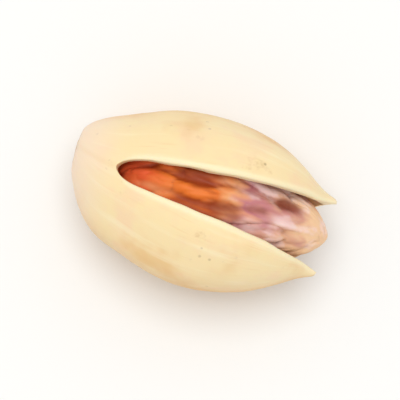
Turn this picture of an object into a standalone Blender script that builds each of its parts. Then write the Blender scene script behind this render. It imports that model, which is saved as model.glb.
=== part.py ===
"""A split pistachio in its shell, lying on its back.

Metres, +Z up. The nut's long axis runs along +X, from the stem scar to the two beaks. The split faces +Z,
and the two valves of the shell lie either side of the plane y = 0, which holds their seam. The origin is
the middle of the small flat spot that the shell rests on. A place on the nut is given by a share, 0 at the
base and 1 at the tip, and by a turn, the angle from the split over a valve's side to the back.
"""

import math

import bmesh
import bpy
from mathutils import Matrix, Vector

# Size of the closed nut, and its place over the spot that it rests on
LENGTH = 0.0201
THICKNESS = 0.0115
HEIGHT = 0.0128
BASE_X = -0.0102
REST_DEPTH = 0.00018
AXIS_Z = 0.5 * HEIGHT - REST_DEPTH
FULLER_SIDE = 0.03

# Outline: where it is widest, how full the pointed half is, the beak, and the base that bends aside
WIDEST_ACROSS = 0.40
WIDEST_UP = 0.48
FULLNESS_ACROSS = 2.25
FULLNESS_UP = 3.0
BODY_END = 0.985
BEAK_HALF = 0.00080
BEAK_START = 0.92
BEAK_BLEND = 2.5
BASE_SKEW = 0.0012
BASE_SKEW_END = 0.20

# Wall and the hollow inside it, whose rows lag so that the wall stands upright where the split starts
WALL = 0.0010
HOLLOW_START = 0.0010
HOLLOW_END = 0.0192
HOLLOW_LAG = 1.1

# Split: where it starts on the front and on the back, and how far it opens
SPLIT_SHARE = 0.17
BACK_SPLIT_SHARE = 0.68
SWING = 0.1725
HINGE_SOFTNESS = 0.0010
HINGE_SLANT = 3.0
TIP_START = 0.83
TIP_END = 0.955
TIP_FLARE = 0.00020

# Lips of the split: how far they draw back from the seam, and how round they are
LIP_RETREAT = 0.00080
BACK_RETREAT = 0.00030
RETREAT_REACH = 0.00056
RETREAT_FADE = 0.19
LIP_ROUND = 0.00024
LIP_REACH = 0.0008
LIP_THIN_HALF = 0.0006
MOST_LIP_SINE = 0.9

# Relief of the shell, none of it where it rests: faint ribs that sway, a slight unevenness, the seam's ridge.
# A wave is how fast it runs round and along, and how far the two valves differ.
RIB_DEPTH = 0.00008
RIBS_PER_VALVE = 4
RIB_SWAY = 1.5
RIB_SWAY_RATE = 2.2
RIB_SHIFT = 0.8
UNEVEN_DEPTH = 0.00010
UNEVEN_WAVES = ((3.1, 5.3, 2.0), (2.3, -7.9, 1.0))
SEAM_RISE = 0.00014
SEAM_HALF_WIDTH = 0.0009
REST_TURN = 2.3
REST_TURN_FADE = 0.5

# Stem scar: sunken, with a low rim
SCAR_RADIUS = 0.0014
SCAR_DEPTH = 0.00014
SCAR_RIM = 0.00005
SCAR_RIM_AT = 1.15
SCAR_RIM_WIDTH = 0.25

# Kernel
KERNEL_START = 0.0026
KERNEL_END = 0.0202
KERNEL_THICKNESS = 0.0087
KERNEL_HEIGHT = 0.0103
KERNEL_Z = 0.0064
KERNEL_PITCH = math.radians(3.0)
KERNEL_WIDEST = 0.46
KERNEL_FULLNESS_ACROSS = 1.75
KERNEL_FULLNESS_UP = 1.35
KERNEL_BLUNTNESS = 0.62

# Wrinkles of the kernel's skin, which wander in two waves: how far, how fast round and along, and from where
WRINKLES = 16
WRINKLE_DEPTH = 0.00030
WRINKLE_WAVES = ((1.5, 0.0, 4.0, 0.1), (0.3, 3.0, 15.0, 1.0))

# Fineness of the meshes
SHELL_ROWS = 48
VALVE_COLUMNS = 20
LIP_STEPS = 3
KERNEL_RINGS = 36
KERNEL_SEGMENTS = 72
WELD = 1e-6
SHARP_ANGLE = math.radians(50)

SHELL_COLOUR = "F3DDB0"
SHELL_ROUGHNESS = 0.45
KERNEL_COLOUR = "B5705A"
KERNEL_ROUGHNESS = 0.6


def linear_colour(hex_colour):
    """An sRGB hex colour as linear red, green, blue and alpha."""
    channels = [int(hex_colour[i : i + 2], 16) / 255 for i in (0, 2, 4)]
    return [c / 12.92 if c <= 0.04045 else ((c + 0.055) / 1.055) ** 2.4 for c in channels] + [1.0]


def add_material(name, hex_colour, roughness):
    """A Principled BSDF material of one colour, with no metal in it."""
    material = bpy.data.materials.new(name)
    material.use_nodes = True
    shader = material.node_tree.nodes["Principled BSDF"]
    shader.inputs["Base Color"].default_value = linear_colour(hex_colour)
    shader.inputs["Roughness"].default_value = roughness
    shader.inputs["Metallic"].default_value = 0.0
    return material


def rising(distance, reach):
    """0 at no distance, and near 1 past the reach."""
    return 1 - math.exp(-max(distance, 0.0) / reach)


def ease(value):
    """0 below 0, 1 above 1, and a smooth step between."""
    value = min(max(value, 0.0), 1.0)
    return value * value * (3 - 2 * value)


def bump(distance, half_width):
    """1 at no distance, and near 0 past twice the half-width."""
    return math.exp(-((distance / half_width) ** 2))


def ring_share(row, rows):
    """The share of the length at a row: rows stand closer together at both ends, as on a sphere."""
    return 0.5 * (1 - math.cos(math.pi * row / rows))


def row_of_share(share, rows):
    """The row nearest to a share."""
    return round(rows * math.acos(1 - 2 * share) / math.pi)


def start_share(share):
    """The share of the shell's row nearest to a wanted share, so that a split starts on a row."""
    return ring_share(row_of_share(share, SHELL_ROWS), SHELL_ROWS)


def outline(share, widest, end, fullness, bluntness=1.0):
    """Half-width as a share of the greatest one: a round base, then a tip as pointed as its bluntness."""
    if share < widest:
        return math.sqrt(max(1 - ((widest - share) / widest) ** 2, 0.0))
    return max(1 - ((share - widest) / (end - widest)) ** fullness, 0.0) ** bluntness


def skew(share):
    """How far the middle line bends aside towards the stem scar."""
    return BASE_SKEW * max(1 - share / BASE_SKEW_END, 0.0) ** 2


def with_beak(half_width, share):
    """The half-width where the body runs out into its beak."""
    along = max(share - BEAK_START, 0.0) / (1 - BEAK_START)
    beak = BEAK_HALF * math.sqrt(max(1 - along**2, 0.0)) * ease(share / BEAK_START)
    return (half_width**BEAK_BLEND + beak**BEAK_BLEND) ** (1 / BEAK_BLEND)


def outer_half_widths(share):
    """The closed nut's half-width across the valves and half-height at a share."""
    across = 0.5 * THICKNESS * outline(share, WIDEST_ACROSS, BODY_END, FULLNESS_ACROSS)
    up = 0.5 * HEIGHT * outline(share, WIDEST_UP, BODY_END, FULLNESS_UP)
    return with_beak(across, share), with_beak(up, share)


def inner_half_widths(share):
    """The hollow's half-width and half-height at a row of this share."""
    own_share = share**HOLLOW_LAG
    across = (0.5 * THICKNESS - WALL) * outline(own_share, WIDEST_ACROSS, 1.0, FULLNESS_ACROSS)
    up = (0.5 * HEIGHT - WALL) * outline(own_share, WIDEST_UP, 1.0, FULLNESS_UP)
    return across, up


def opening(share, turn):
    """How far a valve stands off the middle plane: it bends open from a line aslant from front to back."""
    front, back = start_share(SPLIT_SHARE), start_share(BACK_SPLIT_SHARE)
    at_tip = ease((share - TIP_START) / (TIP_END - TIP_START))
    lean = 0.5 + (turn / math.pi - 0.5) * (1 - at_tip)
    hinge = front + (back - front) * lean**HINGE_SLANT
    past = max(share - hinge, 0.0) * LENGTH
    flare = TIP_FLARE * ease((share - BEAK_START) / (1 - BEAK_START))
    return SWING * past**2 / (past + HINGE_SOFTNESS) + flare


def lip_places(share, half_width):
    """Retreat and roundness of the front lip and then of the back lip at a share."""
    thin = half_width**2 / (half_width**2 + LIP_THIN_HALF**2)
    fade = 1 - ease((share - RETREAT_FADE) / (1 - RETREAT_FADE))
    places = []
    for start, retreat in ((SPLIT_SHARE, LIP_RETREAT), (BACK_SPLIT_SHARE, BACK_RETREAT)):
        past = (share - start_share(start)) * LENGTH
        cut = retreat * rising(past, RETREAT_REACH) * fade
        places.append((cut, LIP_ROUND * rising(past, LIP_REACH) * thin))
    return places


def ribs(share, turn, side):
    """The height of the faint ribs that run lengthwise."""
    sway = RIB_SWAY * math.sin(RIB_SWAY_RATE * share + side)
    return RIB_DEPTH * math.sin(2 * RIBS_PER_VALVE * turn + RIB_SHIFT * side + sway)


def unevenness(share, turn, side):
    """The height of the skin's slight unevenness."""
    height = UNEVEN_DEPTH
    for round_rate, along_rate, shift in UNEVEN_WAVES:
        height *= math.sin(round_rate * turn + along_rate * share + shift * side)
    return height


def seam_ridge(share, turn, half_width):
    """The height of the ridge along the seam, where the valves are grown together."""
    start = BACK_SPLIT_SHARE if turn > 0.5 * math.pi else SPLIT_SHARE
    if share > start_share(start):
        return 0.0
    return SEAM_RISE * bump(half_width * math.sin(turn), SEAM_HALF_WIDTH)


def shell_relief(share, turn, side, half_width):
    """How far the outer skin stands out of the plain outline."""
    uneven = (ribs(share, turn, side) + unevenness(share, turn, side)) * math.sin(turn)
    height = (uneven + seam_ridge(share, turn, half_width)) * math.sin(math.pi * share)
    return height * (1.0 - ease((turn - REST_TURN) / REST_TURN_FADE) * math.sin(math.pi * share))


def scar_dent(share, radius):
    """How far the base is pushed in along +X: a sunken scar inside a low rim."""
    if share > 0.5:
        return 0.0
    off = radius / SCAR_RADIUS
    return SCAR_DEPTH * math.exp(-(off**4)) - SCAR_RIM * bump(off - SCAR_RIM_AT, SCAR_RIM_WIDTH)


def outer_point(share, turn, side):
    """A point of the outer skin of the valve on this side."""
    across, up = outer_half_widths(share)
    across *= 1 - side * FULLER_SIDE
    relief = shell_relief(share, turn, side, across)
    y = (across + relief) * math.sin(turn)
    z = (up + relief) * math.cos(turn)
    x = BASE_X + share * LENGTH + scar_dent(share, math.hypot(y, z))
    return Vector((x, side * (y + opening(share, turn)) + skew(share), AXIS_Z + z))


def inner_point(share, turn, side):
    """A point of the hollow's skin in the valve on this side, which opens no sooner than the outer skin."""
    across, up = inner_half_widths(share)
    across *= 1 - side * FULLER_SIDE
    along = HOLLOW_START + share**HOLLOW_LAG * (HOLLOW_END - HOLLOW_START)
    open_by = opening(min(share, along / LENGTH), turn)
    y = side * (across * math.sin(turn) + open_by) + skew(along / LENGTH)
    return Vector((BASE_X + along, y, AXIS_Z + up * math.cos(turn)))


def skin_row(point, half_width, share, side):
    """One row of points over a valve's side, from its front lip to its back lip."""
    front, back = [
        math.asin(min((cut + rounding) / max(half_width, WELD), MOST_LIP_SINE))
        for cut, rounding in lip_places(share, half_width)
    ]
    turns = [front + (math.pi - front - back) * j / VALVE_COLUMNS for j in range(VALVE_COLUMNS + 1)]
    return [point(share, turn, side) for turn in turns]


def squared(value):
    """A sine or cosine drawn out towards 1 or -1, which makes a circle a square with round corners."""
    return math.copysign(math.sqrt(abs(value)), value)


def lip_arc(start, end, side, rounding):
    """The points between two edges of the wall, round the lip that joins them."""
    middle, half = (start + end) / 2, (start - end) / 2
    arc = []
    for step in range(1, LIP_STEPS + 1):
        angle = math.pi * step / (LIP_STEPS + 1)
        reach = Vector((0, -side * rounding * squared(math.sin(angle)), 0))
        arc.append(middle + half * squared(math.cos(angle)) + reach)
    return arc


def valve_section(share, side):
    """One closed loop of points round the wall of a valve: outside, back lip, inside, front lip."""
    across, _ = outer_half_widths(share)
    hollow_across, _ = inner_half_widths(share)
    (_, front_round), (_, back_round) = lip_places(share, across)
    outside = skin_row(outer_point, across, share, side)
    inside = skin_row(inner_point, hollow_across, share, side)[::-1]
    back = lip_arc(outside[-1], inside[0], side, back_round)
    front = lip_arc(inside[-1], outside[0], side, front_round)
    return outside + back + inside + front


def is_grown(row, column):
    """Whether this strip of a lip is left out, because there the two valves are one wall."""
    back_lip = range(VALVE_COLUMNS, VALVE_COLUMNS + LIP_STEPS + 1)
    if column in back_lip:
        return row < row_of_share(BACK_SPLIT_SHARE, SHELL_ROWS)
    front_lip = column > 2 * VALVE_COLUMNS + LIP_STEPS
    return front_lip and row < row_of_share(SPLIT_SHARE, SHELL_ROWS)


def add_valve(mesh, side):
    """The faces of one valve, open where its wall runs on into the other valve's."""
    rows = []
    for row in range(SHELL_ROWS + 1):
        section = valve_section(ring_share(row, SHELL_ROWS), side)
        rows.append([mesh.verts.new(point) for point in section])
    columns = len(rows[0])
    for row, (low, high) in enumerate(zip(rows, rows[1:])):
        for column in range(columns):
            after = (column + 1) % columns
            if not is_grown(row, column):
                mesh.faces.new((low[column], low[after], high[after], high[column]))


def cut_rest_spot(mesh):
    """Cuts the back of the shell flat at z = 0 and closes the cut."""
    cut = bmesh.ops.bisect_plane(
        mesh,
        geom=mesh.verts[:] + mesh.edges[:] + mesh.faces[:],
        plane_co=(0, 0, 0),
        plane_no=(0, 0, -1),
        dist=WELD,
        clear_outer=True,
    )
    rim = [item for item in cut["geom_cut"] if isinstance(item, bmesh.types.BMEdge)]
    bmesh.ops.edgeloop_fill(mesh, edges=rim)


def add_object(name, mesh, material):
    """Makes a smooth-shaded object of a finished mesh."""
    bmesh.ops.recalc_face_normals(mesh, faces=mesh.faces[:])
    data = bpy.data.meshes.new(name)
    mesh.to_mesh(data)
    mesh.free()
    data.shade_smooth()
    data.set_sharp_from_angle(angle=SHARP_ANGLE)
    data.materials.append(material)
    made = bpy.data.objects.new(name, data)
    bpy.context.scene.collection.objects.link(made)


def build_shell():
    """The shell: two valves of one wall, grown together at the base and along the back."""
    mesh = bmesh.new()
    for side in (1, -1):
        add_valve(mesh, side)
    bmesh.ops.remove_doubles(mesh, verts=mesh.verts[:], dist=WELD)
    loose = [vert for vert in mesh.verts if not vert.link_faces]
    bmesh.ops.delete(mesh, geom=loose, context="VERTS")
    cut_rest_spot(mesh)
    add_object("shell", mesh, add_material("shell", SHELL_COLOUR, SHELL_ROUGHNESS))


def wrinkle(share, turn):
    """How far the kernel's skin lies inside its plain outline: long creases that wander."""
    wander = sum(
        reach * math.sin(round_rate * turn + along_rate * share + start)
        for reach, round_rate, along_rate, start in WRINKLE_WAVES
    )
    crease = 1 - abs(math.sin(0.5 * WRINKLES * turn + wander))
    return WRINKLE_DEPTH * crease * math.sin(math.pi * share)


def kernel_point(share, turn):
    """A point of the kernel's skin, round the kernel's own middle line."""
    across = outline(share, KERNEL_WIDEST, 1.0, KERNEL_FULLNESS_ACROSS, KERNEL_BLUNTNESS)
    up = outline(share, KERNEL_WIDEST, 1.0, KERNEL_FULLNESS_UP, KERNEL_BLUNTNESS)
    inside = wrinkle(share, turn)
    y = max(0.5 * KERNEL_THICKNESS * across - inside, 0.0) * math.sin(turn)
    z = max(0.5 * KERNEL_HEIGHT * up - inside, 0.0) * math.cos(turn)
    return Vector(((share - 0.5) * (KERNEL_END - KERNEL_START), y, z))


def build_kernel():
    """The kernel: a sphere with its poles along X, drawn out and wrinkled lengthwise."""
    mesh = bmesh.new()
    bmesh.ops.create_uvsphere(mesh, u_segments=KERNEL_SEGMENTS, v_segments=KERNEL_RINGS, radius=1.0)
    bmesh.ops.rotate(mesh, verts=mesh.verts[:], matrix=Matrix.Rotation(math.pi / 2, 3, "Y"))
    for vert in mesh.verts:
        vert.co = kernel_point(0.5 * (1 + vert.co.x), math.atan2(vert.co.y, vert.co.z))
    bmesh.ops.rotate(mesh, verts=mesh.verts[:], matrix=Matrix.Rotation(-KERNEL_PITCH, 3, "Y"))
    middle = Vector((BASE_X + 0.5 * (KERNEL_START + KERNEL_END), 0, KERNEL_Z))
    bmesh.ops.translate(mesh, verts=mesh.verts[:], vec=middle)
    add_object("kernel", mesh, add_material("kernel", KERNEL_COLOUR, KERNEL_ROUGHNESS))


def clear_scene():
    """Removes every object of the scene."""
    for thing in list(bpy.data.objects):
        bpy.data.objects.remove(thing, do_unlink=True)


clear_scene()
build_shell()
build_kernel()
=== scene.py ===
"""The dressed model of a split pistachio in its shell, on a pale floor in soft light.

Metres, +Z up, in the CAD model's frame: +X runs from the stem scar to the two beaks, the split faces +Z, and
the seam of the two valves lies in the plane y = 0. A place on the shell is a share of its length, 0 at the
base and 1 at the tip, and a turn, the angle from the split over a valve's side to the back.
"""

import logging
import math
from dataclasses import dataclass, field
from enum import Enum
from typing import Any, Callable, Iterable, NamedTuple, Sequence

import bpy
from mathutils import Matrix, Vector, noise


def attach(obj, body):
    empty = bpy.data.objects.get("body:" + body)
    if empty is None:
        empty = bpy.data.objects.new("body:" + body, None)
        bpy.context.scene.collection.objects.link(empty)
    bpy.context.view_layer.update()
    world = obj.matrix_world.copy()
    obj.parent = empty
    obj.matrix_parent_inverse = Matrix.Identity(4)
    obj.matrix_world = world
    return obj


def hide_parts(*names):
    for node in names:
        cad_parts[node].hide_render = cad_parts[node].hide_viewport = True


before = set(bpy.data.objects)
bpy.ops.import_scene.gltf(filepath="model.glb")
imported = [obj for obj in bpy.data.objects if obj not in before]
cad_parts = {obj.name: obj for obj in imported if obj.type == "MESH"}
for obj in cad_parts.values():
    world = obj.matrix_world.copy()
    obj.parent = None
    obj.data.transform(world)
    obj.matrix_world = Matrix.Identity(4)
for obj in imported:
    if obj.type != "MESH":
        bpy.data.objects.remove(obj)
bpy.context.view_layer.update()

LOG = logging.getLogger("pistachio")
MM = 1000.0
# Points closer than this are one point. The cut at the floor merges only much closer ones.
WELD = 1e-6
CUT_WELD = 1e-7
# An edge that turns by more than this stays sharp.
SHARP_ANGLE = math.radians(50)
# Where the nut's base lies on the X axis. Lengths along the nut are counted from it.
BASE_X = -0.0102


class Valve(Enum):
    """The two valves of the shell, each by the side of the seam's plane that it lies on."""

    SLIM = 1
    FULL = -1


def ease(value: float) -> float:
    """0 below 0, 1 above 1, and a smooth step between."""
    value = min(max(value, 0.0), 1.0)
    return value * value * (3 - 2 * value)


def rising(distance: float, reach: float) -> float:
    """0 at no distance, and near 1 past the reach."""
    return 1 - math.exp(-max(distance, 0.0) / reach)


def bump(distance: float, half_width: float) -> float:
    """1 at no distance, and near 0 past twice the half-width."""
    return math.exp(-((distance / half_width) ** 2))


def squared(value: float) -> float:
    """A sine or cosine drawn out towards 1 or -1, which makes a circle a square with round corners."""
    return math.copysign(math.sqrt(abs(value)), value)


def ring_share(row: int, rows: int) -> float:
    """The share of the length at a row: rows stand closer together at both ends, as on a sphere."""
    return 0.5 * (1 - math.cos(math.pi * row / rows))


def linear(hex_colour: str) -> tuple[float, float, float, float]:
    """Turns an sRGB colour to the linear one that the shaders take.

    Args:
        hex_colour: two hex digits each for red, green and blue.

    Returns:
        Linear red, green and blue, and an alpha of 1.
    """
    channels = [int(hex_colour[i : i + 2], 16) / 255 for i in (0, 2, 4)]
    red, green, blue = (c / 12.92 if c <= 0.04045 else ((c + 0.055) / 1.055) ** 2.4 for c in channels)
    return red, green, blue, 1.0


def select_only(*objects: bpy.types.Object) -> None:
    """Makes these objects the only selected ones.

    Args:
        objects: the objects to select, of which the first becomes the active one.
    """
    bpy.ops.object.select_all(action="DESELECT")
    for thing in objects:
        thing.select_set(True)
    bpy.context.view_layer.objects.active = objects[0]


def edit(piece: bpy.types.Object, *steps: Callable[[], Any], faces: Iterable[int] | None = None) -> None:
    """Runs edit mode operators on a piece.

    Args:
        piece: the mesh object to edit.
        steps: calls that each run one operator.
        faces: the indices of the faces to select first, or None for all of them.
    """
    chosen = None if faces is None else set(faces)
    select_only(piece)
    bpy.context.tool_settings.mesh_select_mode = (False, False, True)
    bpy.ops.object.mode_set(mode="EDIT")
    bpy.ops.mesh.select_all(action="SELECT" if chosen is None else "DESELECT")
    if chosen is not None:
        bpy.ops.object.mode_set(mode="OBJECT")
        for polygon in piece.data.polygons:
            polygon.select = polygon.index in chosen
        bpy.ops.object.mode_set(mode="EDIT")
    for step in steps:
        step()
    bpy.ops.object.mode_set(mode="OBJECT")


def subdivide(piece: bpy.types.Object, levels: int) -> None:
    """Smooths a piece with a Subdivision Surface modifier and applies it.

    Args:
        piece: the mesh object to smooth.
        levels: how often its faces are divided.
    """
    select_only(piece)
    modifier = piece.modifiers.new("smooth", "SUBSURF")
    modifier.levels = modifier.render_levels = levels
    bpy.ops.object.modifier_apply(modifier=modifier.name)


def set_attribute(mesh: bpy.types.Mesh, name: str, values: Sequence[float]) -> None:
    """Stores one number for each vertex of a mesh.

    Args:
        mesh: the mesh.
        name: the attribute's name, as the materials read it.
        values: one number for each vertex, in their order.
    """
    mesh.attributes.new(name, "FLOAT", "POINT").data.foreach_set("value", values)


def get_attribute(mesh: bpy.types.Mesh, name: str) -> list[float]:
    """Reads the numbers that a mesh stores for its vertices.

    Args:
        mesh: the mesh.
        name: the attribute's name.

    Returns:
        One number for each vertex, in their order.
    """
    values = [0.0] * len(mesh.vertices)
    mesh.attributes[name].data.foreach_get("value", values)
    return values


def push_out(mesh: bpy.types.Mesh, heights: list[float]) -> None:
    """Moves each vertex along its normal.

    Args:
        mesh: the mesh to change.
        heights: how far each vertex moves, in metres.
    """
    normals = [vert.normal.copy() for vert in mesh.vertices]
    for vert, normal, height in zip(mesh.vertices, normals, heights):
        vert.co += normal * height
    mesh.update()


def add_node(
    tree: bpy.types.NodeTree,
    kind: str,
    inputs: dict[str | int, Any] | None = None,
    stops: list[tuple[float, str]] | None = None,
    **settings: Any,
) -> bpy.types.Node:
    """Adds a shader node with its settings, and with its inputs set or linked.

    Args:
        tree: the node tree of a material or world.
        kind: the node's type without its common prefix, such as "TexNoise".
        inputs: a value or another node's output for each input, by name or number.
        stops: the places and hex colours of a ramp.
        settings: the node's own settings.

    Returns:
        The new node.
    """
    node = tree.nodes.new("ShaderNode" + kind)
    for name, value in settings.items():
        setattr(node, name, value)
    for place, _ in (stops or [])[2:]:
        node.color_ramp.elements.new(place)
    for element, (place, colour) in zip(node.color_ramp.elements if stops else [], stops or []):
        element.position = place
        element.color = linear(colour)
    for name, value in (inputs or {}).items():
        if isinstance(value, bpy.types.NodeSocket):
            tree.links.new(value, node.inputs[name])
        else:
            node.inputs[name].default_value = value
    return node


@dataclass(frozen=True)
class Outline:
    """How a half-width runs along the nut: a round base, then a tip as pointed as its bluntness.

    Attributes:
        widest: the share at which it is widest.
        end: the share at which it reaches zero.
        fullness: how full the half beyond the widest place is.
        bluntness: 1 for a pointed end, less for a rounder one.
    """

    widest: float
    end: float
    fullness: float
    bluntness: float = 1.0

    def at(self, share: float) -> float:
        """The half-width at a place along the nut.

        Args:
            share: the share of the length.

        Returns:
            The half-width there, as a share of the greatest one.
        """
        if share < self.widest:
            return math.sqrt(max(1 - ((self.widest - share) / self.widest) ** 2, 0.0))
        beyond = (share - self.widest) / (self.end - self.widest)
        return max(1 - beyond**self.fullness, 0.0) ** self.bluntness


class WallPoint(NamedTuple):
    """A point of the section through a valve's wall.

    Attributes:
        place: its position.
        turn: the angle from the split over the side to the back.
        inside: 0 on the outer skin, 1 on the hollow's skin, and between them round a lip.
        lip: 1 at the crest of an open lip, fading out on both skins.
    """

    place: Vector
    turn: float
    inside: float
    lip: float


class Layer(NamedTuple):
    """A colour laid over what is under it, where a pattern is strong.

    Attributes:
        colour: the colour's hex code, or a socket that gives a colour.
        pattern: the socket of the pattern.
        start: the pattern's value at which the layer starts to show.
        full: the value at which it is full, which may lie below the start.
        most: how much the full layer covers, from 0 to 1.
        within: a socket from 0 to 1 that the layer is kept within, or None.
    """

    colour: str | bpy.types.NodeSocket
    pattern: bpy.types.NodeSocket
    start: float
    full: float
    most: float = 1.0
    within: bpy.types.NodeSocket | None = None


class Blotch(NamedTuple):
    """A lengthwise oval patch of the kernel's skin.

    Attributes:
        x: its middle along the nut.
        y: its middle across the nut.
        half_length: half its length, along X.
        half_width: half its width, along Y.
        strength: how marked it is, from 0 to 1.
    """

    x: float
    y: float
    half_length: float
    half_width: float
    strength: float

    def at(self, x: float, y: float) -> float:
        """How strong it is at a place of the skin, seen from above."""
        return self.strength * bump(x - self.x, self.half_length) * bump(y - self.y, self.half_width)


class Ripple(NamedTuple):
    """A low, uneven relief, or an uneven shift of an edge.

    Attributes:
        reach: how far it goes to either side, in metres.
        scale: how many waves it has to a unit of its coordinates.
        offset: where in the noise it starts, which sets ripples of a like scale apart.
    """

    reach: float
    scale: float
    offset: tuple[float, float, float] = (0.0, 0.0, 0.0)

    def at(self, place: Vector) -> float:
        """How far it goes at a place, which is below 0 where it goes inwards or back."""
        return self.reach * noise.noise(place * self.scale + Vector(self.offset))


class Wrinkles(NamedTuple):
    """Narrow wrinkles, which run where a noise passes through zero.

    Attributes:
        scale: how many waves the noise has to a metre, across the wrinkles.
        offset: where in the noise they start.
        share: their share of the skin's relief.
        narrowness: the power that makes their relief narrow.
        dark: how much painted shade lies in them, from 0 to 1.
        dark_narrowness: the power that makes their lines of painted shade narrow.
    """

    scale: float
    offset: tuple[float, float, float]
    share: float
    narrowness: int
    dark: float
    dark_narrowness: int

    def at(self, place: Vector) -> float:
        """1 in the middle of a wrinkle, and less beside it."""
        return 1 - abs(noise.noise(place * self.scale + Vector(self.offset)))


class Grain(NamedTuple):
    """A cloudy noise pattern.

    Attributes:
        space: the socket of the coordinates that it is drawn in.
        scale: how many clouds there are to a unit of each coordinate.
        detail: how many finer octaves it has.
        roughness: how strong they are.
    """

    space: bpy.types.NodeSocket
    scale: tuple[float, float, float]
    detail: float
    roughness: float


def lay_over(
    tree: bpy.types.NodeTree, under: str | bpy.types.NodeSocket, layers: Iterable[Layer]
) -> bpy.types.NodeSocket:
    """Lays colours over one another.

    Args:
        tree: the material's node tree.
        under: the hex code or the socket of the lowest colour.
        layers: the layers, from the lowest to the topmost.

    Returns:
        The socket of the finished colour.
    """
    colour = linear(under) if isinstance(under, str) else under
    for layer in layers:
        amount = add_node(
            tree,
            "MapRange",
            {"Value": layer.pattern, "From Min": layer.start, "From Max": layer.full, "To Max": layer.most},
            interpolation_type="SMOOTHSTEP",
        ).outputs[0]
        if layer.within:
            amount = add_node(tree, "Math", {0: amount, 1: layer.within}, operation="MULTIPLY").outputs[0]
        top = linear(layer.colour) if isinstance(layer.colour, str) else layer.colour
        colour = add_node(tree, "Mix", {0: amount, 6: colour, 7: top}, data_type="RGBA").outputs[2]
    return colour


def draw_grains(tree: bpy.types.NodeTree, grains: dict[str, Grain]) -> dict[str, bpy.types.NodeSocket]:
    """Adds noise patterns to a material.

    Args:
        tree: the material's node tree.
        grains: the patterns by name.

    Returns:
        The socket of each pattern, by the same name.
    """
    drawn = {}
    for name, grain in grains.items():
        scaled = add_node(tree, "VectorMath", {0: grain.space, 1: grain.scale}, operation="MULTIPLY")
        drawn[name] = add_node(
            tree,
            "TexNoise",
            {"Vector": scaled.outputs[0], "Scale": 1.0, "Detail": grain.detail, "Roughness": grain.roughness},
        ).outputs[0]
    return drawn


def new_tree(name: str) -> tuple[bpy.types.Material, bpy.types.NodeTree]:
    """Makes a material that has no nodes yet.

    Args:
        name: the material's name.

    Returns:
        The material and its node tree.
    """
    made = bpy.data.materials.new(name)
    made.use_nodes = True
    made.node_tree.nodes.clear()
    return made, made.node_tree


def finish_piece(
    piece: bpy.types.Object, name: str, node: str, material: bpy.types.Material
) -> bpy.types.Object:
    """Names and dresses a finished piece, and hands it to the frame in place of its CAD node.

    Args:
        piece: the finished mesh object.
        name: the piece's name.
        node: the CAD node that it stands for.
        material: the material it wears.

    Returns:
        The same object.
    """
    piece.name = piece.data.name = name
    piece.data.materials.clear()
    piece.data.materials.append(material)
    select_only(piece)
    bpy.ops.object.shade_smooth_by_angle(angle=SHARP_ANGLE)
    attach(piece, "root")
    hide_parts(node)
    LOG.info("%s: %d faces", name, len(piece.data.polygons))
    return piece


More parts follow.
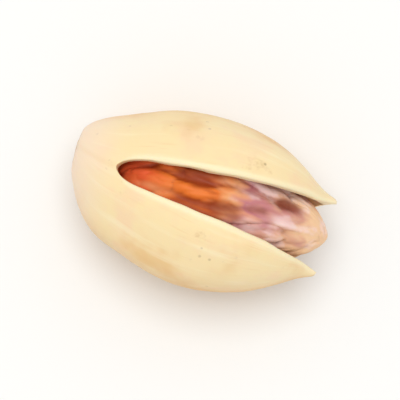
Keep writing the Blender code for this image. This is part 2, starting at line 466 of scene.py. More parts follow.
@dataclass(frozen=True)
class ShellFinish:
    """Pistachio shell: a bony wall that grew smooth inside its hull, and was dried and lightly roasted.

    It gives the eye a warm cream with a soft, broad sheen, which turns honey towards the back: partly its own
    tan, partly painted shade on the sides that turn from the light. On it lie pinkish and honey clouds, faint
    paler streaks lengthwise, and a few tan stains and brown specks. The base is paler, the lip pale and
    smooth, and the inner wall tan, and rust-coloured at its base end.
    """

    cream: str = "F6DEAC"
    pale: str = "FBEBC4"
    pinkish: str = "F6D2AC"
    honey: str = "E4B068"
    stain: str = "C6985C"
    speck: str = "8A6238"
    base: str = "F8DEC8"
    lip: str = "FBEBC2"
    inner: str = "F2D2A4"
    inner_deep: str = "DCAE7C"
    stuck_skin: str = "E27C40"
    scar: str = "EED2AC"
    scar_hole: str = "B08357"
    seam: str = "DDB67E"
    roughness: float = 0.44
    ior: float = 1.48

    def material(self) -> bpy.types.Material:
        """Makes the shell's material, which reads the wall's UV map, in millimetres, and its attributes.

        Returns:
            The material.
        """
        made, tree = new_tree("dried_pistachio_shell")
        marks = {
            name: add_node(tree, "Attribute", attribute_name=name).outputs["Fac"]
            for name in ("along", "turn", "lip", "inside", "seam", "scar")
        }
        wall = add_node(tree, "UVMap", uv_map="wall_mm").outputs["UV"]
        place = add_node(tree, "TexCoord").outputs["Object"]
        grains = draw_grains(
            tree,
            {
                # Fibres run from the stem to the beak, about 0.3 mm apart. They are drawn 1.2 mm apart as
                # well, in bundles, because single ones are too fine to show.
                "bundles": Grain(wall, (0.09, 0.8, 1.0), 3.0, 0.6),
                "fibres": Grain(wall, (0.25, 3.0, 1.0), 2.0, 0.55),
                # Clouds of 5 and 3 mm, and stains of 2 mm, are what drying and roasting leave.
                "clouds": Grain(place, (200.0, 200.0, 200.0), 3.0, 0.5),
                "tints": Grain(place, (310.0, 340.0, 360.0), 3.0, 0.55),
                "blots": Grain(place, (520.0, 560.0, 560.0), 4.0, 0.62),
                # The stem scar's pits, of 0.7 mm, and the skin's own pores, of 0.4 mm.
                "pits": Grain(place, (1400.0, 1400.0, 1400.0), 2.0, 0.5),
                "pores": Grain(place, (2600.0, 2600.0, 2600.0), 2.0, 0.5),
            },
        )
        # Specks of 0.2 mm lie some 1 mm apart, and show only where the skin is stained.
        dots = add_node(
            tree, "TexVoronoi", {"Vector": place, "Scale": 900.0}, feature="F1"
        ).outputs["Distance"]
        spotted = add_node(
            tree, "MapRange", {"Value": grains["blots"], "From Min": 0.52, "From Max": 0.66}
        ).outputs[0]
        # The clouds make the edge of the honey colour on the back uneven.
        round_wall = add_node(
            tree, "Math", {0: marks["turn"], 1: grains["clouds"]}, operation="ADD"
        ).outputs[0]
        scar = lay_over(
            tree,
            self.scar,
            [
                Layer(self.scar_hole, grains["blots"], 0.40, 0.64, 0.35),
                Layer(self.scar_hole, grains["pits"], 0.54, 0.70, 0.6),
                Layer(self.scar_hole, marks["scar"], 0.75, 0.30, 0.4),
            ],
        )
        inner = lay_over(
            tree,
            self.inner,
            [
                Layer(self.inner_deep, grains["clouds"], 0.45, 0.70, 0.6),
                # Papery skin of the seed stays stuck to the wall at its base end.
                Layer(self.stuck_skin, marks["along"], 0.50, 0.25, 0.85),
            ],
        )
        colour = lay_over(
            tree,
            self.cream,
            [
                Layer(self.pinkish, grains["tints"], 0.48, 0.68, 0.55),
                Layer(self.honey, grains["clouds"], 0.52, 0.72, 0.45),
                Layer(self.pale, grains["bundles"], 0.50, 0.74, 0.60),
                Layer(self.honey, grains["fibres"], 0.42, 0.20, 0.22),
                # Partly the shell's own tan, partly painted shade on the sides that turn from the light.
                Layer(self.honey, round_wall, 1.32, 2.25, 0.75),
                Layer(self.stain, grains["blots"], 0.62, 0.78, 0.35),
                Layer(self.speck, dots, 0.16, 0.06, 0.5, spotted),
                Layer(self.base, marks["along"], 0.22, 0.0, 0.75),
                Layer(self.seam, marks["seam"], 0.2, 1.0, 0.12),
                Layer(scar, marks["scar"], 0.0, 1.0),
                Layer(self.lip, marks["lip"], 0.25, 0.9, 0.8),
                Layer(inner, marks["inside"], 0.55, 0.95),
            ],
        )
        rough = add_node(
            tree,
            "MapRange",
            {
                "Value": grains["bundles"],
                "From Min": 0.3,
                "From Max": 0.7,
                "To Min": self.roughness - 0.04,
                "To Max": self.roughness + 0.10,
            },
        ).outputs[0]
        normal = None
        for pattern, strength, depth in (
            ("bundles", 0.4, 6e-5),
            ("fibres", 0.25, 3e-5),
            ("pores", 0.25, 2e-5),
        ):
            relief = {"Strength": strength, "Distance": depth, "Height": grains[pattern]}
            under = {"Normal": normal} if normal else {}
            normal = add_node(tree, "Bump", relief | under).outputs["Normal"]
        shader = add_node(
            tree,
            "BsdfPrincipled",
            {
                "Base Color": colour,
                "Roughness": rough,
                "IOR": self.ior,
                "Specular IOR Level": 0.42,
                "Subsurface Weight": 0.15,
                "Subsurface Radius": (1.0, 0.55, 0.25),
                "Subsurface Scale": 0.0006,
                "Normal": normal,
            },
        )
        add_node(tree, "OutputMaterial", {"Surface": shader.outputs["BSDF"]})
        return made


@dataclass(frozen=True)
class SeedCoatFinish:
    """Seed coat: the thin papery skin that dried and wrinkled on the seed, matte.

    It gives the eye orange-red at the base, orange in the middle and mauve towards the tip, whose end is tan.
    A whitish bloom lies on the ridges, and its pale patches are partly painted highlight. Painted shade makes
    the creases and the hollows a dark red brown, and darkens the skin where the lips stand over it.
    """

    rust: str = "EE6636"
    orange: str = "EC7C2E"
    tan: str = "F0A870"
    mauve: str = "C47C82"
    dusty: str = "DAA584"
    tip: str = "F0C69C"
    bloom: str = "F6D8D4"
    # The dark red brown of the painted shade beside the lips, and in the hollows towards the base.
    painted_shade: str = "9A3A12"
    # The darker brown of the painted shade in the furrows and hollows towards the tip.
    tipward_shade: str = "84381F"
    # A dark red brown, for the painted shade in the furrows towards the base and for a mottle of the skin's
    # own.
    crease: str = "8A2808"
    roughness: float = 0.58
    ior: float = 1.45

    def material(self) -> bpy.types.Material:
        """Makes the kernel's material, which reads object coordinates and the kernel's attributes.

        Returns:
            The material.
        """
        made, tree = new_tree("dried_seed_coat")
        place = add_node(tree, "TexCoord").outputs["Object"]
        marks = {
            name: add_node(tree, "Attribute", attribute_name=name).outputs["Fac"]
            for name in ("crease", "along", "painted_shade", "hollow", "bloom")
        }
        grains = draw_grains(
            tree,
            {
                # Patches of 3 by 8 mm, where the skin's colour changes, and a mottle of 1.5 by 3 mm.
                "patches": Grain(place, (130.0, 340.0, 340.0), 3.0, 0.55),
                "mottle": Grain(place, (320.0, 700.0, 700.0), 3.0, 0.55),
                # The papery skin's own grain, of 0.3 mm.
                "paper": Grain(place, (2200.0, 3400.0, 3400.0), 2.0, 0.5),
            },
        )
        # The colours follow one another along the kernel, with edges that the patches draw out.
        wander = add_node(
            tree,
            "MapRange",
            {"Value": grains["patches"], "From Min": 0.3, "From Max": 0.7, "To Min": -0.14, "To Max": 0.14},
        ).outputs[0]
        shifted = add_node(tree, "Math", {0: marks["along"], 1: wander}, operation="ADD").outputs[0]
        stops = [
            (0.16, self.rust),
            (0.34, self.orange),
            (0.50, self.orange),
            (0.58, self.tan),
            (0.66, self.mauve),
            (0.80, self.dusty),
            (0.93, self.tip),
        ]
        skin = add_node(tree, "ValToRGB", {"Fac": shifted}, stops=stops).outputs["Color"]
        # The half towards the tip has other patches and creases than the half towards the base.
        tipward = add_node(
            tree, "MapRange", {"Value": shifted, "From Min": 0.52, "From Max": 0.70}
        ).outputs[0]
        baseward = add_node(tree, "Math", {0: 1.0, 1: tipward}, operation="SUBTRACT").outputs[0]
        colour = lay_over(
            tree,
            skin,
            [
                Layer(self.bloom, grains["mottle"], 0.48, 0.66, 0.70, tipward),
                Layer(self.mauve, grains["patches"], 0.52, 0.40, 0.45, tipward),
                # Pale patches, partly a whitish bloom and partly painted highlight.
                Layer(self.bloom, marks["bloom"], 0.1, 1.0, 0.75, tipward),
                Layer(self.tan, marks["bloom"], 0.1, 1.0, 0.70, baseward),
                # Painted shade that the lips cast on the skin beside them.
                Layer(self.painted_shade, marks["painted_shade"], 0.0, 1.0, 0.80),
                # Painted shade in the furrows and wrinkles.
                Layer(self.crease, marks["crease"], 0.30, 0.85, 0.75, baseward),
                Layer(self.tipward_shade, marks["crease"], 0.35, 0.95, 0.50, tipward),
                # A dark mottle of the skin's own.
                Layer(self.crease, grains["mottle"], 0.46, 0.30, 0.35, baseward),
                # Painted shade in the sunken hollows.
                Layer(self.painted_shade, marks["hollow"], 0.10, 0.8, 0.85, baseward),
                Layer(self.tipward_shade, marks["hollow"], 0.10, 0.8, 0.85, tipward),
            ],
        )
        rough = add_node(
            tree,
            "MapRange",
            {
                "Value": grains["mottle"],
                "From Min": 0.3,
                "From Max": 0.7,
                "To Min": self.roughness + 0.12,
                "To Max": self.roughness - 0.10,
            },
        ).outputs[0]
        coarse = add_node(
            tree, "Bump", {"Strength": 0.5, "Distance": 6e-5, "Height": grains["mottle"]}
        ).outputs["Normal"]
        fine = add_node(
            tree, "Bump", {"Strength": 0.4, "Distance": 2e-5, "Height": grains["paper"], "Normal": coarse}
        ).outputs["Normal"]
        shader = add_node(
            tree,
            "BsdfPrincipled",
            {
                "Base Color": colour,
                "Roughness": rough,
                "IOR": self.ior,
                "Specular IOR Level": 0.40,
                "Subsurface Weight": 0.08,
                "Subsurface Radius": (1.0, 0.35, 0.2),
                "Subsurface Scale": 0.0008,
                "Normal": fine,
            },
        )
        add_node(tree, "OutputMaterial", {"Surface": shader.outputs["BSDF"]})
        return made


@dataclass
class Shell:
    """The shell: two valves of one wall, grown together at the base and along the back.

    Attributes:
        length: from the stem scar to the beaks.
        thickness: the closed nut, across the valves.
        height: the closed nut, from its front seam to its back.
        rest_depth: how much of the back is cut off level, which makes the spot that the nut rests on.
        fuller_side: the share by which the full valve is wider, and the slim one narrower, than half the nut.
        hollow_lag: the power by which the hollow's rows lag behind the outer skin's.
        swing: how far a valve stands out for each unit of length past its hinge line.
        hinge_slant: the power by which that line runs from the front split's start to the back split's.
        lip_retreats: how far the front lip and the back lip draw back from the seam's plane.
        cage_rows: rows of the cage along the nut, before it is subdivided.
        valve_columns: columns of the cage over one side of a valve.
        lip_steps: points round a lip, between the wall's two skins.
        split_row: the cage row at which the front split starts.
        back_split_row: the cage row at which the back split starts.
    """

    # The body.
    length: float = 0.0201
    thickness: float = 0.0115
    height: float = 0.0128
    rest_depth: float = 0.00018
    fuller_side: float = 0.03
    across: Outline = Outline(0.40, 0.985, 2.25)
    up: Outline = Outline(0.48, 0.985, 3.0)
    # The beaks, and the base that bends aside towards the stem scar.
    beak_half: float = 0.00080
    beak_start: float = 0.92
    beak_blend: float = 2.5
    base_skew: float = 0.0012
    base_skew_end: float = 0.20
    # The wall and the hollow.
    wall: float = 0.0010
    hollow_start: float = 0.0010
    hollow_end: float = 0.0192
    hollow_lag: float = 1.1
    hollow_across: Outline = Outline(0.40, 1.0, 2.25)
    hollow_up: Outline = Outline(0.48, 1.0, 3.0)
    # How the valves stand open.
    swing: float = 0.1725
    hinge_softness: float = 0.0010
    hinge_slant: float = 3.0
    tip_start: float = 0.83
    tip_end: float = 0.955
    tip_flare: float = 0.00020
    # The lips.
    lip_retreats: tuple[float, float] = (0.00080, 0.00030)
    retreat_reach: float = 0.00056
    retreat_fade: float = 0.19
    lip_round: float = 0.00024
    lip_reach: float = 0.0008
    lip_thin_half: float = 0.0006
    most_lip_sine: float = 0.9
    lip_fade: float = 0.00035
    # The ribs, the uneven skin and the seam's ridge, which fade out where the nut rests.
    rib_depth: float = 0.00008
    ribs_per_valve: int = 4
    rib_sway: float = 1.5
    rib_sway_rate: float = 2.2
    rib_shift: float = 0.8
    uneven_depth: float = 0.00010
    uneven_waves: tuple[tuple[float, float, float], ...] = ((3.1, 5.3, 2.0), (2.3, -7.9, 1.0))
    seam_rise: float = 0.00014
    seam_half_width: float = 0.0009
    seam_colour_sharpness: float = 3.0
    rest_turn: float = 2.3
    rest_turn_fade: float = 0.5
    # The stem scar.
    scar_radius: float = 0.0014
    scar_depth: float = 0.00014
    scar_rim: float = 0.00005
    scar_rim_at: float = 1.15
    scar_rim_width: float = 0.25
    scar_colour_from: float = 0.75
    scar_colour_fade: float = 0.45
    # The small relief, which stops short of the floor.
    dents: tuple[Ripple, ...] = (Ripple(0.00005, 260.0), Ripple(0.000018, 900.0))
    veins: Ripple = Ripple(0.000035, 1.0, (0.0, 0.0, 0.3))
    vein_rates: tuple[float, float] = (1.6, 4.4)
    vein_turn_apart: float = 4.0
    lip_waver: Ripple = Ripple(0.00006, 1.0, (0.0, 0.0, 2.0))
    lip_waver_rate: float = 12.0
    scar_tears: Ripple = Ripple(0.00006, 2100.0)
    floor_clear: float = 0.0004
    floor_fade: float = 0.001
    # The cage, and the UV map: the radius that its turns are drawn at, and how far on the inner skin lies.
    cage_rows: int = 96
    valve_columns: int = 40
    lip_steps: int = 5
    split_row: int = 26
    back_split_row: int = 60
    map_radius_mm: float = 6.0
    map_inner_turn: float = 8.0
    finish: ShellFinish = field(default_factory=ShellFinish)

    @property
    def axis_z(self) -> float:
        """The height of the nut's long axis above the floor."""
        return 0.5 * self.height - self.rest_depth

    @property
    def split_shares(self) -> tuple[float, float]:
        """The shares at which the front split and the back split start."""
        return ring_share(self.split_row, self.cage_rows), ring_share(self.back_split_row, self.cage_rows)

    @property
    def loop_columns(self) -> int:
        """The number of faces in one loop round a valve's wall."""
        return 2 * (self.valve_columns + 1) + 2 * self.lip_steps

    def skew(self, share: float) -> float:
        """How far the middle line bends aside towards the stem scar."""
        return self.base_skew * max(1 - share / self.base_skew_end, 0.0) ** 2

    def with_beak(self, half_width: float, share: float) -> float:
        """The half-width where the body runs out into its beak.

        Args:
            half_width: the body's own half-width there.
            share: the share of the length.

        Returns:
            The half-width with the beak blended in.
        """
        along = max(share - self.beak_start, 0.0) / (1 - self.beak_start)
        beak = self.beak_half * math.sqrt(max(1 - along**2, 0.0)) * ease(share / self.beak_start)
        return (half_width**self.beak_blend + beak**self.beak_blend) ** (1 / self.beak_blend)

    def half_widths(self, share: float) -> tuple[float, float]:
        """The closed nut's size at a place along it.

        Args:
            share: the share of the length.

        Returns:
            The half-width across the valves and the half-height, with the beaks.
        """
        across = 0.5 * self.thickness * self.across.at(share)
        up = 0.5 * self.height * self.up.at(share)
        return self.with_beak(across, share), self.with_beak(up, share)

    def hollow_half_widths(self, share: float) -> tuple[float, float]:
        """The hollow's size at a row of the cage.

        Args:
            share: the row's share of the length.

        Returns:
            The half-width across the valves and the half-height.
        """
        own_share = share**self.hollow_lag
        across = (0.5 * self.thickness - self.wall) * self.hollow_across.at(own_share)
        return across, (0.5 * self.height - self.wall) * self.hollow_up.at(own_share)

    def opening(self, share: float, turn: float) -> float:
        """How far a valve stands off the middle plane, bent open from a line aslant from front to back.

        Args:
            share: the share of the length.
            turn: the angle from the split.

        Returns:
            The distance along the valve's own side.
        """
        front, back = self.split_shares
        at_tip = ease((share - self.tip_start) / (self.tip_end - self.tip_start))
        lean = 0.5 + (turn / math.pi - 0.5) * (1 - at_tip)
        hinge = front + (back - front) * lean**self.hinge_slant
        past = max(share - hinge, 0.0) * self.length
        flare = self.tip_flare * ease((share - self.beak_start) / (1 - self.beak_start))
        return self.swing * past**2 / (past + self.hinge_softness) + flare

    def lip_places(self, share: float, half_width: float) -> list[tuple[float, float, float]]:
        """The retreat, the roundness and the openness of the front lip and of the back lip.

        Args:
            share: the share of the length.
            half_width: the closed nut's half-width there.

        Returns:
            Three numbers for each lip.
        """
        thin = half_width**2 / (half_width**2 + self.lip_thin_half**2)
        fade = 1 - ease((share - self.retreat_fade) / (1 - self.retreat_fade))
        places = []
        for start, retreat in zip(self.split_shares, self.lip_retreats):
            past = (share - start) * self.length
            cut = retreat * rising(past, self.retreat_reach) * fade
            open_here = rising(past, self.lip_reach)
            places.append((cut, self.lip_round * open_here * thin, open_here))
        return places

    def relief(self, share: float, turn: float, side: int, half_width: float) -> float:
        """How far the outer skin stands out of the plain outline: ribs, unevenness and the seam's ridge.

        Args:
            share: the share of the length.
            turn: the angle from the split.
            side: the valve's side, 1 or -1.
            half_width: the valve's half-width there.

        Returns:
            The height in metres.
        """
        sway = self.rib_sway * math.sin(self.rib_sway_rate * share + side)
        ribs = self.rib_depth * math.sin(2 * self.ribs_per_valve * turn + self.rib_shift * side + sway)
        uneven = self.uneven_depth
        for round_rate, along_rate, shift in self.uneven_waves:
            uneven *= math.sin(round_rate * turn + along_rate * share + shift * side)
        height = (ribs + uneven) * math.sin(turn) + self.seam_rise * self.seam_mark(share, turn, half_width)
        clear = 1.0 - ease((turn - self.rest_turn) / self.rest_turn_fade) * math.sin(math.pi * share)
        return height * math.sin(math.pi * share) * clear

    def seam_mark(self, share: float, turn: float, half_width: float) -> float:
        """How near a point is to the seam where the valves are grown together.

        Args:
            share: the share of the length.
            turn: the angle from the split.
            half_width: the valve's half-width there.

        Returns:
            1 on the seam, fading out beside it, and 0 where it is split.
        """
        if share > self.split_shares[turn > 0.5 * math.pi]:
            return 0.0
        return bump(half_width * math.sin(turn), self.seam_half_width)

    def scar_dent(self, share: float, radius: float) -> float:
        """How far the base is pushed in along +X by the stem scar, and out by its rim.

        Args:
            share: the share of the length. The half of the nut towards the tip has no scar.
            radius: the distance from the long axis.

        Returns:
            The distance along +X.
        """
        if share > 0.5:
            return 0.0
        off = radius / self.scar_radius
        rim = self.scar_rim * bump(off - self.scar_rim_at, self.scar_rim_width)
        return self.scar_depth * math.exp(-(off**4)) - rim

    def outer_point(self, share: float, turn: float, side: int) -> Vector:
        """A point of a valve's outer skin.

        Args:
            share: the share of the length.
            turn: the angle from the split.
            side: the valve's side, 1 or -1.

        Returns:
            The point.
        """
        across, up = self.half_widths(share)
        across *= 1 - side * self.fuller_side
        relief = self.relief(share, turn, side, across)
        y = (across + relief) * math.sin(turn)
        z = (up + relief) * math.cos(turn)
        x = BASE_X + share * self.length + self.scar_dent(share, math.hypot(y, z))
        return Vector((x, side * (y + self.opening(share, turn)) + self.skew(share), self.axis_z + z))

    def inner_point(self, share: float, turn: float, side: int) -> Vector:
        """A point of the hollow's skin in a valve, which opens no sooner than the outer skin.

        Args:
            share: the share of the length of its row.
            turn: the angle from the split.
            side: the valve's side, 1 or -1.

        Returns:
            The point.
        """
        across, up = self.hollow_half_widths(share)
        across *= 1 - side * self.fuller_side
        along = self.hollow_start + share**self.hollow_lag * (self.hollow_end - self.hollow_start)
        open_by = self.opening(min(share, along / self.length), turn)
        y = side * (across * math.sin(turn) + open_by) + self.skew(along / self.length)
        return Vector((BASE_X + along, y, self.axis_z + up * math.cos(turn)))

    def skin_row(self, inner: bool, share: float, side: int) -> list[WallPoint]:
        """One row of points over a valve's side, from its front lip to its back lip.

        Args:
            inner: whether the row lies on the hollow's skin.
            share: the share of the length.
            side: the valve's side, 1 or -1.

        Returns:
            The row's points.
        """
        outer_across = self.half_widths(share)[0]
        half_width = max(self.hollow_half_widths(share)[0] if inner else outer_across, WELD)
        point = self.inner_point if inner else self.outer_point
        places = self.lip_places(share, outer_across if not inner else half_width)
        front, back = [
            math.asin(min((cut + rounding) / half_width, self.most_lip_sine)) for cut, rounding, _ in places
        ]
        row = []
        for j in range(self.valve_columns + 1):
            turn = front + (math.pi - front - back) * j / self.valve_columns
            off_front, off_back = half_width * (turn - front), half_width * (math.pi - back - turn)
            lip = max(
                places[0][2] * math.exp(-off_front / self.lip_fade),
                places[1][2] * math.exp(-off_back / self.lip_fade),
            )
            row.append(WallPoint(point(share, turn, side), turn, float(inner), lip))
        return row

    def lip_arc(
        self, start: WallPoint, end: WallPoint, side: int, rounding: float, openness: float
    ) -> list[WallPoint]:
        """The points between two edges of the wall, round the lip that joins them.

        Args:
            start: the last point of one skin.
            end: the first point of the other.
            side: the valve's side, 1 or -1.
            rounding: how far the lip bulges towards the split.
            openness: 0 where the split starts, 1 where it is well open.

        Returns:
            The lip's points, without its two ends.
        """
        middle, half = (start.place + end.place) / 2, (start.place - end.place) / 2
        arc = []
        for step in range(1, self.lip_steps + 1):
            angle = math.pi * step / (self.lip_steps + 1)
            reach = Vector((0, -side * rounding * squared(math.sin(angle)), 0))
            share = step / (self.lip_steps + 1)
            inside = start.inside + (end.inside - start.inside) * share
            place = middle + half * squared(math.cos(angle)) + reach
            arc.append(WallPoint(place, start.turn, inside, openness))
        return arc

    def section(self, share: float, side: int) -> list[WallPoint]:
        """One loop of points round a valve's wall.

        Args:
            share: the share of the length.
            side: the valve's side, 1 or -1.

        Returns:
            The points of the outside, the back lip, the inside and the front lip, and the first point again.
        """
        (_, *front), (_, *back) = self.lip_places(share, self.half_widths(share)[0])
        outside = self.skin_row(False, share, side)
        inside = self.skin_row(True, share, side)[::-1]
        back_lip = self.lip_arc(outside[-1], inside[0], side, *back)
        front_lip = self.lip_arc(inside[-1], outside[0], side, *front)
        return outside + back_lip + inside + front_lip + outside[:1]

    def is_grown(self, row: int, column: int) -> bool:
        """Whether a face of the sheet is cut away, because there the two valves are one wall.

        Args:
            row: the face's row along the nut.
            column: its column round the wall.

        Returns:
            Whether it belongs to a lip that is grown together.
        """
        if self.valve_columns <= column <= self.valve_columns + self.lip_steps:
            return row < self.back_split_row
        return column > 2 * self.valve_columns + self.lip_steps and row < self.split_row

    def flat_sheet(self) -> bpy.types.Object:
        """Makes a flat sheet of the cage's rows and columns, with the grown lips cut away.

        Returns:
            The mesh object, which spans -1 to 1 both ways.
        """
        bpy.ops.object.select_all(action="DESELECT")
        bpy.ops.mesh.primitive_grid_add(
            x_subdivisions=self.cage_rows, y_subdivisions=self.loop_columns, size=2.0
        )
        sheet = bpy.context.active_object
        grown = [
            polygon.index
            for polygon in sheet.data.polygons
            if self.is_grown(
                int((polygon.center.x + 1) / 2 * self.cage_rows),
                int((polygon.center.y + 1) / 2 * self.loop_columns),
            )
        ]
        edit(sheet, lambda: bpy.ops.mesh.delete(type="FACE"), faces=grown)
        return sheet

    def rolled_up(self, valve: Valve) -> bpy.types.Object:
        """Makes a valve: the flat sheet rolled up into its wall, with its marks and its UV map.

        Args:
            valve: which valve.

        Returns:
            The mesh object.
        """
        sheet = self.flat_sheet()
        mesh = sheet.data
        side = valve.value
        sections = [self.section(ring_share(row, self.cage_rows), side) for row in range(self.cage_rows + 1)]
        marks, unrolled = [], []
        for vert in mesh.vertices:
            row = round((vert.co.x + 1) / 2 * self.cage_rows)
            column = round((vert.co.y + 1) / 2 * self.loop_columns)
            share = ring_share(row, self.cage_rows)
            vert.co, turn, inside, lip = sections[row][column]
            across, up = self.half_widths(share)
            off = math.hypot(across * math.sin(turn), up * math.cos(turn)) / self.scar_radius
            scar = 1 - ease((off - self.scar_colour_from) / self.scar_colour_fade) if share < 0.5 else 0.0
            seam = self.seam_mark(share, turn, self.seam_colour_sharpness * across)
            marks.append((share, turn, inside, lip, (1 - inside) * seam, (1 - inside) * scar, float(side)))
            round_wall = side * turn + self.map_inner_turn * inside
            unrolled.append((share * self.length * MM, round_wall * self.map_radius_mm))
        for name, values in zip(("along", "turn", "inside", "lip", "seam", "scar", "side"), zip(*marks)):
            set_attribute(mesh, name, values)
        uv_map = mesh.uv_layers[0]
        uv_map.name = "wall_mm"
        for loop in mesh.loops:
            uv_map.data[loop.index].uv = unrolled[loop.vertex_index]
        return sheet

    def roughen(self, wall: bpy.types.Object) -> None:
        """Gives the skins small dents, veins, wavering lips and a torn scar.

        Args:
            wall: the shell's mesh object, with its marks.
        """
        mesh = wall.data
        marks = [get_attribute(mesh, name) for name in ("along", "turn", "inside", "lip", "scar", "side")]
        heights = []
        for vert, along, turn, inside, lip, scar, side in zip(mesh.vertices, *marks):
            outer = 1 - inside
            dents = sum(dent.at(vert.co) for dent in self.dents)
            round_nut = (turn + self.vein_turn_apart * side) * self.vein_rates[1]
            vein = self.veins.at(Vector((along * self.vein_rates[0], round_nut, 0.0)))
            vein *= math.sin(turn) * math.sin(math.pi * along)
            waver = lip * self.lip_waver.at(Vector((along * self.lip_waver_rate, side, 0.0)))
            torn = scar * self.scar_tears.at(vert.co)
            clear = ease((vert.co.z - self.floor_clear) / self.floor_fade) if outer > 0.5 else 1.0
            heights.append((dents + outer * vein + waver + torn) * clear)
        push_out(mesh, heights)

    def build(self) -> bpy.types.Object:
        """Makes the shell: two valves joined into one wall, roughened, and cut level where it rests.

        Returns:
            The dressed piece.
        """
        wall, other = [self.rolled_up(valve) for valve in Valve]
        select_only(wall, other)
        bpy.ops.object.join()
        edit(
            wall,
            lambda: bpy.ops.mesh.remove_doubles(threshold=WELD),
            lambda: bpy.ops.mesh.delete_loose(),
            lambda: bpy.ops.mesh.select_all(action="SELECT"),
            lambda: bpy.ops.mesh.normals_make_consistent(inside=False),
        )
        subdivide(wall, 1)
        self.roughen(wall)
        edit(
            wall,
            lambda: bpy.ops.mesh.bisect(
                plane_co=(0, 0, 0), plane_no=(0, 0, 1), clear_inner=True, use_fill=True, threshold=CUT_WELD
            ),
        )
        return finish_piece(wall, "nut_shell", "shell", self.finish.material())


@dataclass
class Kernel:
    """The kernel: the seed in its papery skin, drawn out along X and wrinkled lengthwise.

    Attributes:
        start: where it starts, from the nut's base.
        end: where it ends, from the nut's base.
        middle_z: the height of its middle above the floor.
        pitch: how far its tip is raised.
        furrows: how many long furrows it has round it.
        furrow_waves: how they wander: by how much, with which rates round and along, and from where.
        gap_from: the place on X where the split is gap_start wide to each side. It widens by gap_slope.
        clear_shares: the share of the split that is clear of the lips' shade, on each side.
        shaded_spans: from where to where on X painted shade lies on the skin beside each lip.
        hollows: the shallow dents of the skin, darkened with painted shade.
        pale_patches: the patches where the skin is pale, partly a whitish bloom and partly painted highlight.
        segments: the cage's segments round the kernel, before it is subdivided.
        rings: the cage's rings along it.
    """

    start: float = 0.0026
    end: float = 0.0202
    thickness: float = 0.0087
    height: float = 0.0103
    middle_z: float = 0.0064
    pitch: float = math.radians(3.0)
    across: Outline = Outline(0.46, 1.0, 1.75, 0.62)
    up: Outline = Outline(0.46, 1.0, 1.35, 0.62)
    # The long furrows, and how much painted shade lies in them.
    furrows: int = 16
    furrow_depth: float = 0.00030
    furrow_waves: tuple[tuple[float, float, float, float], ...] = (
        (1.5, 0.0, 4.0, 0.1),
        (0.3, 3.0, 15.0, 1.0),
    )
    furrow_narrowness: float = 1.3
    furrow_shade: float = 0.9
    # The fine wrinkles, drawn out lengthwise and shallower at the tip.
    fine_depth: float = 0.00030
    fine_wrinkles: tuple[Wrinkles, ...] = (
        Wrinkles(560.0, (3.0, 1.0, 7.0), 0.7, 5, 0.45, 8),
        Wrinkles(1400.0, (0.0, 0.0, 0.0), 0.3, 4, 0.2, 9),
    )
    lengthwise: float = 0.30
    calm_tip: float = 0.5
    calm_from: float = 0.82
    calm_fade: float = 0.12
    # The painted shade that the lips cast on the skin beside them.
    gap_start: float = 0.00095
    gap_slope: float = 0.12
    gap_from: float = -0.0050
    clear_shares: tuple[float, float] = (0.25, 0.40)
    shaded_spans: tuple[tuple[float, float], ...] = ((-0.0030, 0.0004), (-0.0032, 0.0014))
    shaded_fade: float = 0.0016
    # The sunken patches of the upper skin, darkened with painted shade, and its pale patches, partly painted
    # highlight.
    hollows: tuple[Blotch, ...] = (
        Blotch(-0.0003, 0.0008, 0.0009, 0.00055, 1.0),
        Blotch(-0.0011, -0.0009, 0.0010, 0.00040, 0.6),
        Blotch(0.0018, -0.0007, 0.0014, 0.00060, 1.0),
        Blotch(0.0044, 0.0001, 0.0007, 0.00035, 0.5),
        Blotch(0.0067, 0.0011, 0.0010, 0.00050, 0.9),
    )
    # Partly a whitish bloom and partly painted highlight.
    pale_patches: tuple[Blotch, ...] = (
        Blotch(-0.0034, -0.0006, 0.0018, 0.00040, 0.8),
        Blotch(0.0028, 0.0010, 0.0016, 0.00050, 0.6),
        Blotch(0.0040, -0.0011, 0.0011, 0.00060, 1.0),
        Blotch(0.0062, -0.0002, 0.0011, 0.00045, 0.8),
    )
    blotch_wander: tuple[Ripple, Ripple] = (Ripple(0.0006, 500.0), Ripple(0.0003, 700.0, (5.0, 2.0, 0.0)))
    upper_fade: float = 0.001
    hollow_depth: float = 0.00012
    pale_patch_cover: float = 0.8
    # The cage.
    segments: int = 132
    rings: int = 108
    finish: SeedCoatFinish = field(default_factory=SeedCoatFinish)

    def crease_at(self, share: float, turn: float) -> float:
        """How near a point is to the middle of a long furrow.

        Args:
            share: the share of the kernel's length.
            turn: the angle from the top.

        Returns:
            1 in the middle of a furrow, 0 on the ridge between two.
        """
        wander = sum(
            reach * math.sin(round_rate * turn + along_rate * share + start)
            for reach, round_rate, along_rate, start in self.furrow_waves
        )
        return 1 - abs(math.sin(0.5 * self.furrows * turn + wander))

    def lip_shade_at(self, place: Vector) -> float:
        """How much painted shade the lips cast on the skin.

        Args:
            place: a point of the skin.

        Returns:
            0 in the middle of the split, and up to 1 beside the lips.
        """
        gap = max(self.gap_start + self.gap_slope * (place.x - self.gap_from), WELD)
        clear = self.clear_shares[place.y < 0]
        start, end = self.shaded_spans[place.y < 0]
        along = ease((place.x - start) / self.shaded_fade) * (1 - ease((place.x - end) / self.shaded_fade))
        return along * ease((abs(place.y) / gap - clear) / (1 - clear))

    def blotch_at(self, place: Vector, blotches: tuple[Blotch, ...]) -> float:
        """How strong some blotches are at a point of the skin, with edges that a noise draws out.

        Args:
            place: the point.
            blotches: the blotches, which lie on the upper skin only.

        Returns:
            Their strength, from 0 to 1.
        """
        x, y = place.x + self.blotch_wander[0].at(place), place.y + self.blotch_wander[1].at(place)
        above = ease((place.z - self.middle_z) / self.upper_fade)
        return above * min(sum(blotch.at(x, y) for blotch in blotches), 1.0)

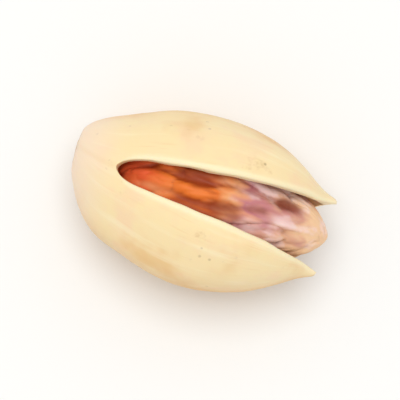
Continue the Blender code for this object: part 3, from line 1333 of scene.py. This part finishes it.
    def point(self, share: float, turn: float) -> Vector:
        """A point of the furrowed skin, round the kernel's own middle.

        Args:
            share: the share of the kernel's length.
            turn: the angle from the top.

        Returns:
            The point.
        """
        inside = self.furrow_depth * self.crease_at(share, turn) * math.sin(math.pi * share)
        y = max(0.5 * self.thickness * self.across.at(share) - inside, 0.0) * math.sin(turn)
        z = max(0.5 * self.height * self.up.at(share) - inside, 0.0) * math.cos(turn)
        return Vector(((share - 0.5) * (self.end - self.start), y, z))

    def shape(self, seed: bpy.types.Object) -> None:
        """Draws a sphere out into the kernel, and stores how far along and how creased its skin is.

        Args:
            seed: a sphere of radius 1 with its poles on the X axis.
        """
        mesh = seed.data
        along, crease = [], []
        for vert in mesh.vertices:
            share, turn = 0.5 * (1 + vert.co.x), math.atan2(vert.co.y, vert.co.z)
            vert.co = self.point(min(max(share, 0.0), 1.0), turn)
            along.append(share)
            crease.append(self.crease_at(share, turn) ** self.furrow_narrowness * math.sin(math.pi * share))
        set_attribute(mesh, "along", along)
        set_attribute(mesh, "crease", crease)

    def wrinkle(self, seed: bpy.types.Object) -> None:
        """Adds the hollows and the fine wrinkles of the dried skin, all of them inwards, and marks where
        painted shade and pale patches go.

        Args:
            seed: the kernel's mesh object, in its place.
        """
        mesh = seed.data
        along, furrowed = get_attribute(mesh, "along"), get_attribute(mesh, "crease")
        painted_shade = [self.lip_shade_at(vert.co) for vert in mesh.vertices]
        hollow = [self.blotch_at(vert.co, self.hollows) for vert in mesh.vertices]
        bloom = [self.blotch_at(vert.co, self.pale_patches) for vert in mesh.vertices]
        heights, crease = [], []
        for index, vert in enumerate(mesh.vertices):
            drawn_out = Vector((vert.co.x * self.lengthwise, vert.co.y, vert.co.z))
            lines = [(wrinkles, wrinkles.at(drawn_out)) for wrinkles in self.fine_wrinkles]
            calm = 1 - self.calm_tip * ease((along[index] - self.calm_from) / self.calm_fade)
            depth = sum(wrinkles.share * line**wrinkles.narrowness for wrinkles, line in lines) * calm
            heights.append(-self.fine_depth * depth - self.hollow_depth * hollow[index])
            # Painted shade in the furrows and wrinkles, lessened where the pale patches lie.
            dark = sum(wrinkles.dark * line**wrinkles.dark_narrowness for wrinkles, line in lines)
            dark = min(furrowed[index] * self.furrow_shade + dark, 1.0)
            crease.append(dark * (1 - self.pale_patch_cover * bloom[index]))
        push_out(mesh, heights)
        mesh.attributes["crease"].data.foreach_set("value", crease)
        for name, values in (("painted_shade", painted_shade), ("hollow", hollow), ("bloom", bloom)):
            set_attribute(mesh, name, values)

    def build(self) -> bpy.types.Object:
        """Makes the kernel from a sphere: shaped, put in its place, smoothed and wrinkled.

        Returns:
            The dressed piece.
        """
        bpy.ops.object.select_all(action="DESELECT")
        bpy.ops.mesh.primitive_uv_sphere_add(
            segments=self.segments, ring_count=self.rings, radius=1.0, rotation=(0, math.pi / 2, 0)
        )
        seed = bpy.context.active_object
        bpy.ops.object.transform_apply(rotation=True)
        self.shape(seed)
        seed.rotation_euler = (0, -self.pitch, 0)
        seed.location = (BASE_X + 0.5 * (self.start + self.end), 0, self.middle_z)
        select_only(seed)
        bpy.ops.object.transform_apply(location=True, rotation=True)
        subdivide(seed, 1)
        self.wrinkle(seed)
        return finish_piece(seed, "nut_kernel", "kernel", self.finish.material())


@dataclass
class Studio:
    """The pale floor, the soft light and the camera, which looks down on the nut as on a table.

    Attributes:
        tilt: how far the camera leans from straight overhead, towards the fuller valve.
        roll: how far the nut's long axis is drawn below the level, its tip to the right.
        view_width: how much of the floor the picture spans.
        distance: from the camera to the nut.
        aim: the point that the camera looks at.
        key_from: where the lamp stands, to the picture's right, to its top and towards the camera.
    """

    floor_size: float = 6.0
    floor_colour: str = "F4F4F2"
    floor_roughness: float = 0.9
    floor_specular: float = 0.2
    tilt: float = math.radians(6.9)
    roll: float = math.radians(16.85)
    view_width: float = 0.0300
    distance: float = 0.50
    sensor_width: float = 36.0
    near_clip: float = 0.01
    aim: tuple[float, float, float] = (0.0, 0.0, 0.00622)
    key_watts: float = 4.0
    key_size: float = 0.60
    key_from: tuple[float, float, float] = (-0.02, 0.22, 0.94)
    sky_strength: float = 0.72

    def axes(self) -> tuple[Vector, Vector, Vector]:
        """The camera's directions.

        Returns:
            The picture's right, its up, and the way back to the camera.
        """
        back = Vector((0, -math.sin(self.tilt), math.cos(self.tilt)))
        level_up = Vector((0, math.cos(self.tilt), math.sin(self.tilt)))
        right = Vector((1, 0, 0)) * math.cos(self.roll) + level_up * math.sin(self.roll)
        return right, back.cross(right), back

    def add_floor(self) -> None:
        """A wide sheet of matte white paper."""
        bpy.ops.object.select_all(action="DESELECT")
        bpy.ops.mesh.primitive_plane_add(size=self.floor_size)
        floor = bpy.context.active_object
        floor.name = "floor"
        paper = bpy.data.materials.new("matte_paper")
        paper.use_nodes = True
        shader = paper.node_tree.nodes["Principled BSDF"]
        shader.inputs["Base Color"].default_value = linear(self.floor_colour)
        shader.inputs["Roughness"].default_value = self.floor_roughness
        shader.inputs["Specular IOR Level"].default_value = self.floor_specular
        floor.data.materials.append(paper)

    def add_light(self) -> None:
        """One large soft lamp from the picture's top, and an even white sky."""
        right, up, back = self.axes()
        lamp = bpy.data.lights.new("key", "AREA")
        lamp.shape = "DISK"
        lamp.size = self.key_size
        lamp.energy = self.key_watts
        key = bpy.data.objects.new("key", lamp)
        key.location = right * self.key_from[0] + up * self.key_from[1] + back * self.key_from[2]
        key.rotation_mode = "QUATERNION"
        key.rotation_quaternion = (-key.location).to_track_quat("-Z", "Y")
        key.visible_camera = False
        bpy.context.scene.collection.objects.link(key)
        world = bpy.data.worlds.new("sky")
        world.use_nodes = True
        background = world.node_tree.nodes["Background"]
        background.inputs["Color"].default_value = linear("FFFFFF")
        background.inputs["Strength"].default_value = self.sky_strength
        bpy.context.scene.world = world

    def add_camera(self) -> None:
        """A long lens, so that the nut is drawn almost without perspective."""
        right, up, back = self.axes()
        data = bpy.data.cameras.new("camera")
        data.sensor_width = self.sensor_width
        data.lens = self.sensor_width * self.distance / self.view_width
        data.clip_start = self.near_clip
        camera = bpy.data.objects.new("camera", data)
        turned = Matrix((right, up, back)).transposed().to_4x4()
        camera.matrix_world = Matrix.Translation(Vector(self.aim) + back * self.distance) @ turned
        bpy.context.scene.collection.objects.link(camera)
        bpy.context.scene.camera = camera

    def build(self) -> None:
        """The floor, the light and the camera, and the plain view transform."""
        self.add_floor()
        self.add_light()
        self.add_camera()
        bpy.context.scene.view_settings.view_transform = "Standard"


def main() -> None:
    """Builds the nut and the studio in order."""
    logging.basicConfig(level=logging.INFO, format="%(name)s: %(message)s")
    Shell().build()
    Kernel().build()
    Studio().build()


if __name__ == "__main__":
    main()
